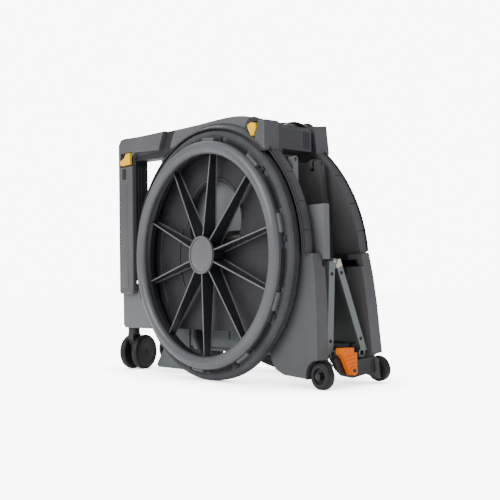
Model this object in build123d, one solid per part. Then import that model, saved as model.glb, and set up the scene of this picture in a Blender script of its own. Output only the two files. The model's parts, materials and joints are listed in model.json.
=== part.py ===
from build123d import *
import math
import os

# Self-propelled shower and commode wheelchair, modelled folded, as it stands for storage.
# Millimetres. +X to the chair's right, +Y forward, +Z up. Each side frame is drawn once in its
# own coordinates: u inboard from the tyre's inner edge, y forward from the hub, z up from the floor.
# The left side uses them as they are. The right side is mirrored and leans against the fold.

# ---- wheels -------------------------------------------------------------------------------
TYRE_R = 300.0
TYRE_DEPTH = 24.0
TYRE_WIDTH = 28.0
RIM_DEPTH = 26.0
HUB_R = 34.0
HUB_OUT = -40.0
HUB_IN = -2.0
SPOKES = 10
SPOKE_PHASE = 4.0
SPOKE_HALF = 2.2
RIM_FIT = 0.2
HANDRIM_R = 257.5
HANDRIM_U = -41.0
HANDRIM_RADIAL = 31.0
HANDRIM_THICK = 24.0
BLOCK_HALF_DEG = 6.5
GRIP_BLOCKS = 10
CAP_R = 45.5
AXLE_R = 8.0
BEARING_R = 17.0
BEARING_WIDTH = 10.0
RUNNING = 0.05

# ---- side frame ---------------------------------------------------------------------------
FENDER_IN_R = 308.0
FENDER_OUT_R = 316.0
FENDER_U = (-8.0, 16.0)
FENDER_FRONT_DEG = -36.0
FENDER_REAR_DEG = 181.4
PLATE_U = (4.0, 14.0)
PLATE_BOTTOM = 118.0
ARCH_CENTRE = (6.0, 381.0)
ARCH_R = 100.0
ARCH_SILL = 346.0
HOUSING_U = (2.0, 36.0)
HOUSING_WALL = 4.0
BLOCK_U = (-4.0, 42.0)
BLOCK_Y = (266.0, 408.0)
BLOCK_Z = (115.0, 236.0)

# ---- casters and transport wheels -----------------------------------------------------------
CASTER_AT = (24.0, 396.0)
CASTER_R = 47.0
CASTER_TRAIL = 18.0
CASTER_HALF = 30.0
CASTER_TURN = 107.0
TRANSPORT_AT = (-338.0, 29.0)
TRANSPORT_R = 29.0
TRANSPORT_U = (8.0, 28.0)

# ---- fold -----------------------------------------------------------------------------------
PIVOT_U = 60.0
PIVOT_Z = 72.0
LEFT_LEAF = 203.5
RIGHT_LEAF = 220.2
LEFT_TILT = 3.4
RIGHT_TILT = 21.585
RIGHT_LEAN = 7.0
LEAF_THICK = 18.0
LEAF_Y = (-330.0, 160.0)
LUG_REAR = (-304.0, -294.0)
LUG_FRONT = (100.0, 110.0)
PIN_R = 6.0
APEX_PIN_R = 4.0
KNUCKLE_R = 7.0
KNUCKLE = 40.0
EYE_R = 14.0
LEAF_EDGE = 12.0
LEAF_RIBS = (-212.0, -100.0, 12.0, 100.0)

# ---- seat and footplates -------------------------------------------------------------------
SEAT_HINGE = (38.0, 508.0)
SEAT_WIDTH = 228.0
SEAT_THICK = 16.0
SEAT_PIN_R = 5.0
SEAT_Y = (-340.0, 170.0)
SEAT_BACK = -246.0
WING_TOP = 400.0
SEAT_LUG_REAR = (-226.0, -216.0)
SEAT_LUG_FRONT = (176.0, 186.0)
COMMODE_HALF = 60.0
COMMODE_DEPTH = 78.0
FOOT_HINGE = (56.0, 150.0)
FOOT_PIN_R = 5.0
FOOT_LUG_REAR = (166.0, 176.0)
FOOT_LUG_FRONT = (282.0, 290.0)

# ---- armrest, back post and top ------------------------------------------------------------
ARM_PIVOT = (-158.0, 594.0)
ARM_EYE_R = 17.0
ARM_PIN_R = 7.5
ARM_U = (-7.5, 13.5)
ARM_INNER_U = 25.0
LEG_U = 30.0
LEG_INNER = 330.0
COVER_U = (-22.0, -8.0)
BOSS_AT = (-160.0, 585.0)
BOSS_R = 27.0
BOSS_NOTCH_R = 33.0
BLOCK_OUT = -27.0
BLOCK_IN = 18.0
POST_PIVOT = (-160.0, 560.0)
POST_U = 35.0
POST_R = 9.0
POST_LENGTH = 330.0
PEDAL_PIVOT = (124.0, 46.0)
POST_PIN_R = 6.0
PEDAL_PIN_R = 4.0
TOP_BOX_U = (28.0, 121.0)
TOP_BOX_Y = (-214.0, -178.0)
TOP_BOX_Z = (535.0, 593.0)
STRAP_Y = -194.0
STRAP_HALF = 8.0
SLING_R = 19.0
SLING_AT = (66.0, 560.0)
SLING_Y = (-112.0, 158.0)
SOFT = 4.0


def box(u, y, z):
    size = (u[1] - u[0], y[1] - y[0], z[1] - z[0])
    centre = ((u[0] + u[1]) / 2, (y[0] + y[1]) / 2, (z[0] + z[1]) / 2)
    return Pos(*centre) * Box(*size)


def cyl_x(y, z, r, u):
    return Pos((u[0] + u[1]) / 2, y, z) * Rot(0, 90, 0) * Cylinder(r, u[1] - u[0])


def cyl_y(u, z, r, y):
    return Pos(u, (y[0] + y[1]) / 2, z) * Rot(90, 0, 0) * Cylinder(r, y[1] - y[0])


def cyl_z(u, y, r, z):
    return Pos(u, y, (z[0] + z[1]) / 2) * Cylinder(r, z[1] - z[0])


def prism_x(points, u):
    """A flat outline in (y, z), pulled from u[0] to u[1]."""
    plane = Plane(origin=(u[0], 0, 0), x_dir=(0, 1, 0), z_dir=(1, 0, 0))
    return extrude(plane * make_face(Polyline(*points, close=True)), u[1] - u[0])


def prism_y(points, y):
    """A flat outline in (u, z), pulled from y[0] to y[1]."""
    plane = Plane(origin=(0, y[1], 0), x_dir=(1, 0, 0), z_dir=(0, -1, 0))
    return extrude(plane * make_face(Polyline(*points, close=True)), y[1] - y[0])


def softened(solid, side, radius=SOFT):
    """Rounds the edges around a prism's flat end: side 0 is the end at its lowest u, -1 at its highest."""
    return fillet(solid.faces().sort_by(Axis.X)[side].edges(), radius)


def ring_x(r_in, r_out, u, y=0.0, z=TYRE_R):
    return cyl_x(y, z, r_out, u) - cyl_x(y, z, r_in, (u[0] - 1, u[1] + 1))


def revolved(profile):
    """A closed outline in (u, radius), turned about the hub's axis."""
    face = make_face(Polyline(*profile, close=True))
    turned = revolve(Plane.XY * face, Axis.X, 360)
    return Pos(0, 0, TYRE_R) * turned


def polar(r, degrees, y=0.0, z=TYRE_R):
    angle = math.radians(degrees)
    return (y + r * math.cos(angle), z + r * math.sin(angle))


# ---- rolling parts --------------------------------------------------------------------------
def tyre():
    inner = TYRE_R - TYRE_DEPTH
    shoulder = TYRE_R - 7
    profile = [
        (-TYRE_WIDTH, inner),
        (-TYRE_WIDTH, shoulder),
        (-TYRE_WIDTH + 6, TYRE_R - 1),
        (-TYRE_WIDTH + 10, TYRE_R),
        (-10, TYRE_R),
        (-6, TYRE_R - 1),
        (0, shoulder),
        (0, inner),
    ]
    return revolved(profile)


def wheel():
    seat = TYRE_R - TYRE_DEPTH - RIM_FIT
    inner = seat - RIM_DEPTH
    rim = revolved([(-27, seat), (-1, seat), (-1, seat - 5), (-8, inner), (-20, inner), (-28, inner + 4)])
    hub = cyl_x(0, TYRE_R, HUB_R, (HUB_OUT, HUB_IN))
    solid = rim + hub
    for i in range(SPOKES):
        root = [(HUB_OUT, HUB_R - 6), (HUB_IN - 2, HUB_R - 6)]
        outline = Polyline(*root, (-9, inner + 3), (-24, inner + 3), close=True)
        blade = extrude(Plane.XY * make_face(outline), SPOKE_HALF, both=True)
        solid += Pos(0, 0, TYRE_R) * Rot(90 + SPOKE_PHASE + i * 360 / SPOKES, 0, 0) * blade
    for u in ((HUB_OUT + 4, HUB_OUT + 4 + BEARING_WIDTH), (HUB_IN - BEARING_WIDTH, HUB_IN + 1)):
        solid -= cyl_x(0, TYRE_R, BEARING_R, u)
    return solid - cyl_x(0, TYRE_R, AXLE_R + 3, (HUB_OUT - 1, HUB_IN + 1))


def bearings():
    group = []
    for u in ((HUB_OUT + 4, HUB_OUT + 4 + BEARING_WIDTH), (HUB_IN - BEARING_WIDTH, HUB_IN)):
        group.append(ring_x(AXLE_R + RUNNING, BEARING_R - RUNNING, u))
    return group


def handrim():
    """Oval ring with bridge blocks that join it to the wheel's rim."""
    section = Pos(HANDRIM_U, HANDRIM_R) * Ellipse(HANDRIM_THICK / 2, HANDRIM_RADIAL / 2)
    solid = Pos(0, 0, TYRE_R) * revolve(section, Axis.X, 360)
    seat = TYRE_R - TYRE_DEPTH - RIM_FIT
    band = ring_x(HANDRIM_R - 4, seat - 4, (HANDRIM_U, -28.2))
    for i in range(GRIP_BLOCKS):
        middle = SPOKE_PHASE + 180 / GRIP_BLOCKS + i * 360 / GRIP_BLOCKS
        ends = [polar(330, middle + turn) for turn in (-BLOCK_HALF_DEG, BLOCK_HALF_DEG)]
        solid += band & prism_x([(0, TYRE_R), *ends], (HANDRIM_U - 1, -27))
    return solid


def hub_cap():
    rim = cyl_x(0, TYRE_R, CAP_R, (HUB_OUT - 6.2, HUB_OUT - 0.2))
    return rim - cyl_x(0, TYRE_R, CAP_R - 4, (HUB_OUT - 8, HUB_OUT - 4.4))


def axle():
    shaft = cyl_x(0, TYRE_R, AXLE_R, (HUB_OUT + 3, PLATE_U[1] + 4))
    nut = extrude(
        Plane(origin=(PLATE_U[1], 0, TYRE_R), x_dir=(0, 1, 0), z_dir=(1, 0, 0)) * RegularPolygon(15, 6), 9)
    return shaft + nut


# ---- caster -----------------------------------------------------------------------------------
def caster_frame():
    """Swivel part with the axle along X and the wheels trailing to -Y, about its own axis."""
    stem = cyl_z(0, 0, 16, (96, BLOCK_Z[0] - 0.4))
    spindle = cyl_z(0, 0, PIN_R, (BLOCK_Z[0] - 1, BLOCK_Z[0] + 45))
    web = prism_x([(-CASTER_TRAIL - 14, 38), (-CASTER_TRAIL + 6, 34), (16, 84), (16, 98), (-16, 98)], (-9, 9))
    axle_rod = cyl_x(-CASTER_TRAIL, CASTER_R, 4, (-CASTER_HALF - 1, CASTER_HALF + 1))
    return stem + spindle + web + axle_rod


def caster_wheels():
    group = []
    for side in (-1, 1):
        u = sorted((side * 11, side * CASTER_HALF))
        body = cyl_x(-CASTER_TRAIL, CASTER_R, CASTER_R, u)
        body = fillet(body.edges().filter_by(GeomType.CIRCLE), 5)
        group.append(body - cyl_x(-CASTER_TRAIL, CASTER_R, 4 + RUNNING, (u[0] - 1, u[1] + 1)))
    return group


def at_caster(solid):
    return Pos(CASTER_AT[0], CASTER_AT[1], 0) * Rot(0, 0, CASTER_TURN) * solid


# ---- side frame ---------------------------------------------------------------------------------
def fender():
    """Mudguard strip over the tyre, open at the bottom."""
    strip = ring_x(FENDER_IN_R, FENDER_OUT_R, FENDER_U)
    sector = [(0, TYRE_R)]
    span = FENDER_REAR_DEG - FENDER_FRONT_DEG
    for i in range(9):
        sector.append(polar(420, FENDER_FRONT_DEG + span * i / 8))
    return strip & prism_x(sector, (FENDER_U[0] - 1, FENDER_U[1] + 1))


def side_panel():
    disc = cyl_x(0, TYRE_R, FENDER_IN_R - 0.1, PLATE_U)
    disc -= box((0, 30), (-400, 400), (-50, PLATE_BOTTOM))
    disc -= box((0, 30), (-400, -150), (-50, 292.2))
    opening = cyl_x(ARCH_CENTRE[0], ARCH_CENTRE[1], ARCH_R, (0, 30))
    opening -= box((-1, 31), (-200, 200), (200, ARCH_SILL))
    boss = cyl_x(0, TYRE_R, 26, (1, PLATE_U[0]))
    solid = disc - opening + boss
    for y in (SEAT_LUG_REAR, SEAT_LUG_FRONT):
        solid += box((PLATE_U[1], SEAT_HINGE[0]), y, (SEAT_HINGE[1] - 12, SEAT_HINGE[1] + 12))
        solid += cyl_y(*SEAT_HINGE, 12, y)
    lug = [(14, 150), (38, 104), (42, 82), (60, 58), (30, 58), (14, 100)]
    solid += prism_y(lug, LUG_FRONT) + cyl_y(PIVOT_U, PIVOT_Z, EYE_R, LUG_FRONT)
    solid += box((14, FOOT_HINGE[0]), FOOT_LUG_REAR, (141, 159)) + cyl_y(*FOOT_HINGE, 9, FOOT_LUG_REAR)
    solid -= ring_x(FENDER_IN_R - 0.1, FENDER_OUT_R + 0.2, (PLATE_U[1] - 1, FENDER_U[1] + 0.2))
    solid -= cyl_x(0, TYRE_R, AXLE_R, (0, 15))
    solid -= cyl_y(PIVOT_U, PIVOT_Z, PIN_R, LUG_FRONT)
    solid -= cyl_y(*SEAT_HINGE, SEAT_PIN_R, (-230, 190))
    return solid - cyl_y(*FOOT_HINGE, FOOT_PIN_R, (160, 180))


def rear_housing():
    outline = [
        (-150.2, 292), (-330, 292), (-336, 240), (-339, 180), (-339, 62), (-352, 52), (-352, 10),
        (-338, 10), (-300, 22), (-234, 26), (-206, 38), (-192, 60), (-186, 90), (-186, 117.8),
        (-150.2, 117.8),
    ]
    shell = prism_x(outline, HOUSING_U)
    hollow = [(-160, 280), (-316, 280), (-322, 236), (-325, 180), (-325, 76), (-296, 66), (-290, 34),
              (-240, 38), (-204, 66), (-198, 128), (-160, 128)]
    shell -= prism_x(hollow, (HOUSING_U[0] + HOUSING_WALL, HOUSING_U[1] - HOUSING_WALL))
    shell -= cyl_x(*TRANSPORT_AT, TRANSPORT_R + 5, (0, TRANSPORT_U[1] + 2))
    shell -= box((0, TRANSPORT_U[1] + 2), (-360, TRANSPORT_AT[0]), (0, 60))
    shell -= cyl_x(*TRANSPORT_AT, 5, (0, 50))
    shell -= box((28.5, 40), (-400, -100), (264, 300))
    lug = [(35, 104), (42, 82), (60, 58), (35, 50)]
    shell += prism_y(lug, LUG_REAR) + cyl_y(PIVOT_U, PIVOT_Z, EYE_R, LUG_REAR)
    return shell - cyl_y(PIVOT_U, PIVOT_Z, PIN_R, LUG_REAR)


def front_block():
    y0, y1 = BLOCK_Y
    z0, z1 = BLOCK_Z
    outline = [
        (y0, z0), (y1 - 8, z0), (y1, z0 + 8), (y1, z1 - 18), (y1 - 36, z1), (y0 + 46, z1), (y0 + 46, z1 - 40),
    ]
    solid = softened(prism_x(outline, BLOCK_U), 0) - cyl_x(0, TYRE_R, FENDER_OUT_R + 0.1, (-40, 60))
    solid += box((BLOCK_U[1], FOOT_HINGE[0]), FOOT_LUG_FRONT, (141, 159))
    solid += cyl_y(*FOOT_HINGE, 9, FOOT_LUG_FRONT)
    solid -= cyl_y(*FOOT_HINGE, FOOT_PIN_R, (280, 292))
    return solid - cyl_z(*CASTER_AT, PIN_R + RUNNING, (z0 - 1, z0 + 46))


def rear_block():
    """Block that carries the arm's pivot and the back post, notched around the pivot's boss."""
    inner = prism_x([(-214, 521), (-214, 597), (-180, 599), (-180, 536)], (-8, BLOCK_IN))
    inner -= cyl_x(0, TYRE_R, FENDER_OUT_R + 0.1, (-9, 16.2))
    outer = softened(prism_x([(-214, 524), (-214, 597), (-180, 598), (-180, 541)], (BLOCK_OUT, -8)), 0)
    outer -= cyl_x(0, TYRE_R, FENDER_OUT_R - 3, (BLOCK_OUT - 1, -7))
    outer -= cyl_x(BOSS_AT[0], BOSS_AT[1] + 7, BOSS_NOTCH_R, (BLOCK_OUT - 1, -8))
    solid = inner + outer + box((8, 26), (-196, -182), (540, 576))
    solid -= cyl_x(0, TYRE_R, FENDER_OUT_R + 0.1, (-8, 16.2))
    solid += box((16.2, 26), (-196, -144), (540, 576))
    return solid - cyl_x(*POST_PIVOT, POST_PIN_R, (12, 30))


def arm_hinge():
    """Boss with the release button's pocket outboard of the arm, a plate inboard of it, and the pin."""
    out = cyl_x(*BOSS_AT, BOSS_R, (-14, -8)) - cyl_x(0, TYRE_R, FENDER_OUT_R + 0.2, (-15, -7))
    inner = cyl_x(*ARM_PIVOT, 16, (14, 19)) + box((14, 19), (-180, ARM_PIVOT[0]), (585, 600))
    pin = cyl_x(*ARM_PIVOT, ARM_PIN_R, (-10, 16))
    return out + inner + pin - box((-15, -10.4), (-183, -147), (563, 600))


# ---- armrest ------------------------------------------------------------------------------------
def armrest():
    """Structural beam and leg, with the eye at the rear pivot."""
    crown = Spline((-158, 611), (-109, 622.5), (-53, 626.5), (44, 626), (162, 627), (230, 628))
    rest = Polyline((230, 628), (372, 633), (386, 631), (392, 624), (392, 244), (LEG_INNER, 244),
                    (LEG_INNER, 568), (222, 563), (206, 565), (150, 580), (-158, 577), (-158, 611))
    beam = make_face(Wire([crown, *rest.edges()]))
    plane = Plane(origin=(ARM_U[0], 0, 0), x_dir=(0, 1, 0), z_dir=(1, 0, 0))
    solid = extrude(plane * beam, LEG_U - ARM_U[0])
    solid -= box((ARM_U[1], LEG_U + 1), (-200, -100), (500, 700))
    solid -= box((ARM_INNER_U, LEG_U + 1), (-200, 190), (500, 700))
    solid -= box((ARM_U[1], LEG_U + 1), (-200, 190), (500, 585))
    solid += cyl_x(*ARM_PIVOT, ARM_EYE_R, ARM_U)
    solid -= cyl_x(0, TYRE_R, FENDER_OUT_R + 1.2, (-20, 16.5))
    solid -= cyl_x(*ARM_PIVOT, ARM_PIN_R + RUNNING, (-20, 30))
    return solid - box((-20, 30), (-200, -140), (400, 577))


def arm_pad():
    """Outer shell of the arm's front part and leg."""
    outline = [
        (182, 628), (230, 628.5), (300, 630), (372, 634), (386, 632), (398, 618), (398, 214), (392, 208),
        (338, 208), (330, 216), (330, 578), (320, 588), (230, 583), (206, 581), (200, 596), (192, 612),
    ]
    solid = softened(prism_x(outline, COVER_U), 0, 5)
    return solid - box((COVER_U[0] - 1, -16), (329, 384), (554, 592))


def front_button():
    outline = [(380, 563), (380, 572), (362, 577), (351, 589), (333, 589), (333, 558), (374, 558)]
    return softened(prism_x(outline, (-27, -19.4)), 0, 2)


def rear_button():
    outline = [(-149, 593), (-162, 598), (-178, 594), (-181, 583), (-171, 566), (-162, 567), (-154, 580)]
    return softened(prism_x(outline, (-22, -13.6)), 0, 2)


# ---- seat, footplates, back post ---------------------------------------------------------------
def seat_half(wing=True):
    """Half of the seat, hanging from its hinge. Only the left half has a wing behind the hinge's end."""
    top = SEAT_HINGE[1]
    low = top - SEAT_WIDTH
    outline = [
        (-COMMODE_HALF, low), (-COMMODE_HALF, low + COMMODE_DEPTH), (COMMODE_HALF, low + COMMODE_DEPTH),
        (COMMODE_HALF, low), (SEAT_Y[1] - 4, low), (SEAT_Y[1], low + 4), (SEAT_Y[1], top), (SEAT_BACK, top),
    ]
    if wing:
        outline += [(SEAT_BACK, WING_TOP), (SEAT_Y[0], WING_TOP), (SEAT_Y[0], low)]
    else:
        outline += [(SEAT_BACK, low)]
    half = SEAT_THICK / 2
    solid = prism_x(outline, (SEAT_HINGE[0] - half, SEAT_HINGE[0] + half))
    solid += cyl_y(*SEAT_HINGE, half, (SEAT_BACK, SEAT_Y[1]))
    solid -= cyl_y(*SEAT_HINGE, 18, (-228, -214))
    return solid - cyl_y(*SEAT_HINGE, SEAT_PIN_R + RUNNING, (-260, 180))


def seat_pin():
    return cyl_y(*SEAT_HINGE, SEAT_PIN_R, (-240, 186))


def footplate():
    u, z = FOOT_HINGE
    outline = [(178, z), (262, z), (262, 118), (274, 84), (326, 16), (318, 8), (190, 8), (178, 20)]
    solid = prism_x(outline, (u - 5, u + 5)) + cyl_y(u, z, 9, (178, 262))
    return solid - cyl_y(u, z, FOOT_PIN_R + RUNNING, (170, 270))


def foot_pin():
    return cyl_y(*FOOT_HINGE, FOOT_PIN_R, (166, 290))


def back_post():
    y, z = POST_PIVOT
    tube = cyl_y(POST_U, z, POST_R, (y, y + POST_LENGTH))
    cap = Pos(POST_U, y + POST_LENGTH, z) * Sphere(POST_R)
    eye = cyl_x(y, z, EYE_R, (26.4, 43.6))
    return tube + cap + eye - cyl_x(y, z, POST_PIN_R + RUNNING, (20, 46))


def post_pin():
    y, z = POST_PIVOT
    return cyl_x(y, z, POST_PIN_R, (17, 44)) + cyl_x(y, z, 11, (44, 47))


def transport_wheel():
    wheel_solid = cyl_x(*TRANSPORT_AT, TRANSPORT_R, TRANSPORT_U)
    wheel_solid = fillet(wheel_solid.edges().filter_by(GeomType.CIRCLE), 5)
    wheel_solid -= ring_x(9, 17, (TRANSPORT_U[0] - 1, TRANSPORT_U[0] + 4), *TRANSPORT_AT)
    return wheel_solid - cyl_x(*TRANSPORT_AT, 5 + RUNNING, (0, 40))


def transport_axle():
    shaft = cyl_x(*TRANSPORT_AT, 5, (TRANSPORT_U[0] - 3, HOUSING_U[1]))
    return shaft + cyl_x(*TRANSPORT_AT, 8, (TRANSPORT_U[0] - 6, TRANSPORT_U[0] - 0.6))


def hinge_pins():
    return [seat_pin(), brace_pin(), foot_pin()]


def brace_pin():
    return cyl_y(PIVOT_U, PIVOT_Z, PIN_R, (LUG_REAR[0] - 2, LUG_FRONT[1] + 2))


# ---- folding deck leaves -------------------------------------------------------------------------
def leaf(length):
    """A deck leaf standing on its lower pivot, at the origin, on the -X side of the pivot line."""
    thick = (-LEAF_THICK, 0)
    rear = (LEAF_Y[0], LEAF_Y[0] + LEAF_EDGE)
    front = (LEAF_Y[1] - LEAF_EDGE, LEAF_Y[1])
    solid = box(thick, rear, (0, length - 0.5)) + box(thick, front, (0, length - 0.5))
    solid += box(thick, LEAF_Y, (0, 20)) + box(thick, LEAF_Y, (length - 20, length - 0.5))
    solid += box((-14, -6), LEAF_Y, (10, length - 10))
    for y in LEAF_RIBS:
        solid += box((-LEAF_THICK, -2), (y - 4, y + 4), (10, length - 10))
    solid += cyl_y(0, 0, 10, LEAF_Y)
    for y in (LUG_REAR, LUG_FRONT):
        solid -= cyl_y(0, 0, 21, (y[0] - 1.5, y[1] + 1.5))
    return solid - cyl_y(0, 0, PIN_R + RUNNING, (LEAF_Y[0] - 1, LEAF_Y[1] + 1))


def knuckles(first):
    spans = []
    y = LEAF_Y[0] + first * KNUCKLE
    while y + KNUCKLE <= LEAF_Y[1] + 0.1:
        spans.append((y + 0.4, y + KNUCKLE - 0.4))
        y += 2 * KNUCKLE
    return spans


def deck_left():
    solid = leaf(LEFT_LEAF)
    for span in knuckles(0):
        solid += cyl_y(0, LEFT_LEAF, KNUCKLE_R, span)
    for span in knuckles(1):
        solid -= cyl_y(0, LEFT_LEAF, KNUCKLE_R + 0.6, (span[0] - 0.4, span[1] + 0.4))
    return solid - cyl_y(0, LEFT_LEAF, APEX_PIN_R, (-340, 180))


def deck_right():
    return mirror(leaf(RIGHT_LEAF - 16), Plane.YZ)


def apex_bracket():
    top = RIGHT_LEAF
    solid = box((0, LEAF_THICK), LEAF_Y, (top - 16.4, top - 0.5))
    for span in knuckles(1):
        solid += cyl_y(0, top, KNUCKLE_R, span)
    for span in knuckles(0):
        solid -= cyl_y(0, top, KNUCKLE_R + 0.6, (span[0] - 0.4, span[1] + 0.4))
    return solid - cyl_y(0, top, APEX_PIN_R + RUNNING, (-340, 180))


def apex_pin():
    return cyl_y(0, LEFT_LEAF, APEX_PIN_R, (LEAF_Y[0] + 1, LEAF_Y[1] - 9))


# ---- parts on one side only -----------------------------------------------------------------------
def top_box():
    """Box between the rear blocks, with a cheek beside the left block and a pocket under the strap."""
    y0, y1 = TOP_BOX_Y
    z0, z1 = TOP_BOX_Z
    outline = [(y0, z0), (y0, z1 - 10), (y0 + 10, z1), (y1, z1), (y1, z0)]
    shell = prism_x(outline, TOP_BOX_U)
    shell -= box((60, 112), (-204, -186), (578, 600))
    for u in (96, 101, 106, 111):
        shell -= box((u, u + 2), (-220, -211), (541, 580))
    shell += cyl_x(-206, 584, 4, (TOP_BOX_U[1], TOP_BOX_U[1] + 6))
    return shell + box((BLOCK_IN + 0.2, TOP_BOX_U[0] + 0.2), (y0, -197), (524, z1))


def carry_strap():
    """Low arched strap over the pocket in the top box."""
    z = TOP_BOX_Z[1]
    arc = ThreePointArc((54, 0, z), (86, 0, z + 9.5), (117, 0, z))
    outer = ThreePointArc((52, 0, z), (86, 0, z + 11.5), (119, 0, z))
    left = Line((54, 0, z), (52, 0, z))
    right = Line((117, 0, z), (119, 0, z))
    face = make_face(Wire([arc, right, outer, left]))
    return Pos(0, STRAP_Y, 0) * extrude(face, STRAP_HALF, dir=(0, 1, 0), both=True)


def foot_pedal():
    """Pedal of the deck lock, in the right side frame's own coordinates. Its head is level in the fold."""
    head = prism_y([(123, 96.4), (156.5, 100.6), (158, 87.2), (124.2, 83)], (-366, -344))
    outline = [(108, 83), (113, 46), (116, 38), (134, 38), (140, 53), (149, 76), (157, 88)]
    stem = prism_y(outline, (-360, -347))
    eye = cyl_y(*PEDAL_PIVOT, 10, (-362, -346))
    return head + stem + eye - cyl_y(*PEDAL_PIVOT, PEDAL_PIN_R + RUNNING, (-370, -330))


def pedal_mount():
    """Curved bracket with the pedal's pin, on the inner wall of the right rear housing."""
    inner = HOUSING_U[1]
    outline = [(inner, 26), (112, 26), (140, 36), (158, 54), (166, 78), (150, 80), (138, 64), (inner, 60)]
    arm = prism_y(outline, (-344, -334))
    return arm + cyl_y(*PEDAL_PIVOT, PEDAL_PIN_R, (-364, -336))


def back_sling():
    return cyl_y(*SLING_AT, SLING_R, SLING_Y)


# ---- placing ----------------------------------------------------------------------------------------
PIVOT_SPAN_X = LEFT_LEAF * math.sin(math.radians(LEFT_TILT)) + RIGHT_LEAF * math.sin(math.radians(RIGHT_TILT))
RIGHT_PIVOT = (
    PIVOT_U + PIVOT_SPAN_X,
    PIVOT_Z + LEFT_LEAF * math.cos(math.radians(LEFT_TILT)) - RIGHT_LEAF * math.cos(math.radians(RIGHT_TILT)),
)


def as_right(solid):
    place = Pos(RIGHT_PIVOT[0], 0, RIGHT_PIVOT[1]) * Rot(0, -RIGHT_LEAN, 0) * Pos(PIVOT_U, 0, -PIVOT_Z)
    return place * mirror(solid, Plane.YZ)


def on_left_leaf(solid):
    return Pos(PIVOT_U, 0, PIVOT_Z) * Rot(0, LEFT_TILT, 0) * solid


def on_right_leaf(solid):
    return Pos(RIGHT_PIVOT[0], 0, RIGHT_PIVOT[1]) * Rot(0, -RIGHT_TILT, 0) * solid


def solids(shape):
    if isinstance(shape, list):
        found = []
        for item in shape:
            found += solids(item)
        return found
    return list(shape.solids())


BOTH_SIDES = {
    "side_panel": side_panel, "fender": fender, "rear_housing": rear_housing, "front_block": front_block,
    "rear_block": rear_block, "arm_hinge": arm_hinge, "axle": axle, "transport_axle": transport_axle,
    "hinge_pins": hinge_pins, "post_pin": post_pin,
    "wheel": wheel, "tyre": tyre, "handrim": handrim, "hub_cap": hub_cap, "bearings": bearings,
    "transport_wheel": transport_wheel, "armrest": armrest, "arm_pad": arm_pad,
    "front_button": front_button, "rear_button": rear_button,
    "footplate": footplate, "back_post": back_post,
    "caster_frame": lambda: at_caster(caster_frame()),
    "caster_wheels": lambda: [at_caster(one) for one in caster_wheels()],
}

nodes = {}
for name, make in BOTH_SIDES.items():
    pieces = solids(make())
    nodes[name + "_left"] = pieces
    nodes[name + "_right"] = [as_right(piece) for piece in pieces]
nodes["seat_half_left"] = solids(seat_half())
nodes["seat_half_right"] = [as_right(piece) for piece in solids(seat_half(wing=False))]
nodes["deck_left"] = solids(on_left_leaf(deck_left()))
nodes["deck_right"] = solids(on_right_leaf(deck_right()))
nodes["apex_bracket"] = solids(on_right_leaf(apex_bracket()))
nodes["foot_pedal"] = solids(as_right(foot_pedal()))
nodes["top_box"] = solids(top_box())
nodes["carry_strap"] = solids(carry_strap())
nodes["apex_pin"] = solids(on_left_leaf(apex_pin()))
nodes["pedal_mount"] = solids(as_right(pedal_mount()))
nodes["back_sling"] = solids(back_sling())

whole = Compound([piece for pieces in nodes.values() for piece in pieces]).bounding_box()
shift = Pos(-(whole.min.X + whole.max.X) / 2, -(whole.min.Y + whole.max.Y) / 2, -whole.min.Z)
print("nodes", len(nodes), "shift", tuple(round(v, 3) for v in shift.position))
print("right pivot", RIGHT_PIVOT, "size", whole.size)

os.makedirs("parts", exist_ok=True)
for name, pieces in nodes.items():
    placed = [shift * piece for piece in pieces]
    shape = placed[0] if len(placed) == 1 else Compound(placed)
    export_step(shape, f"parts/{name}.step")
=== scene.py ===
import json
import math

import bmesh
import bpy
from mathutils import Matrix, Vector


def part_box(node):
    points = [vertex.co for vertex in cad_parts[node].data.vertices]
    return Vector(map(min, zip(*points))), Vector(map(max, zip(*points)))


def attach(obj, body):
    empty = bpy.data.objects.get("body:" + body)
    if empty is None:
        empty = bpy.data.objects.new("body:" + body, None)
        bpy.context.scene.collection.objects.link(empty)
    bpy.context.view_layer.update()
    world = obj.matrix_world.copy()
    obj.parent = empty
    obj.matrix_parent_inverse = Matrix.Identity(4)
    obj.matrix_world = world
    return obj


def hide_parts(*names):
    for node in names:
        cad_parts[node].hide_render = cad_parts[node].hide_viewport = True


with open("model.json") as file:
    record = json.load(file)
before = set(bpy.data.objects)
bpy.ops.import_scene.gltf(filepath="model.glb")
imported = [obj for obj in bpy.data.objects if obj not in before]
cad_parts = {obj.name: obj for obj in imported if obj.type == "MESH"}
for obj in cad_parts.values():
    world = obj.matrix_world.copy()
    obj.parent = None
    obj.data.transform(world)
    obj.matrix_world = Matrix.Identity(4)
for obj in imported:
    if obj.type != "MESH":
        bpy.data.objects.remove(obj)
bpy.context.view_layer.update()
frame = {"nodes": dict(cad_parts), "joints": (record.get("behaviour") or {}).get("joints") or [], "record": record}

# Folded shower and commode wheelchair. Metres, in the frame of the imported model.
# Each side is described once, as (u inboard from the tyre's inner edge, y forward from the hub,
# z up from the floor). LEFT and RIGHT place it: the right side is mirrored and leans.

MM = 0.001


def mm(*points):
    """Points given in millimetres, in metres."""
    return [tuple(c * MM for c in point) for point in points]


LEAN = math.radians(7)
PIVOT_U = 60 * MM
PIVOT_Z = 72 * MM

tyre_low, tyre_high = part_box("tyre_left")
TYRE_R = (tyre_high.z - tyre_low.z) / 2
TYRE_WIDTH = tyre_high.x - tyre_low.x
HUB = Vector((tyre_high.x, (tyre_low.y + tyre_high.y) / 2, (tyre_low.z + tyre_high.z) / 2))
joint_at = {j["name"]: Vector(j["pos_m"]) for j in frame["joints"] if "pos_m" in j}

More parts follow.
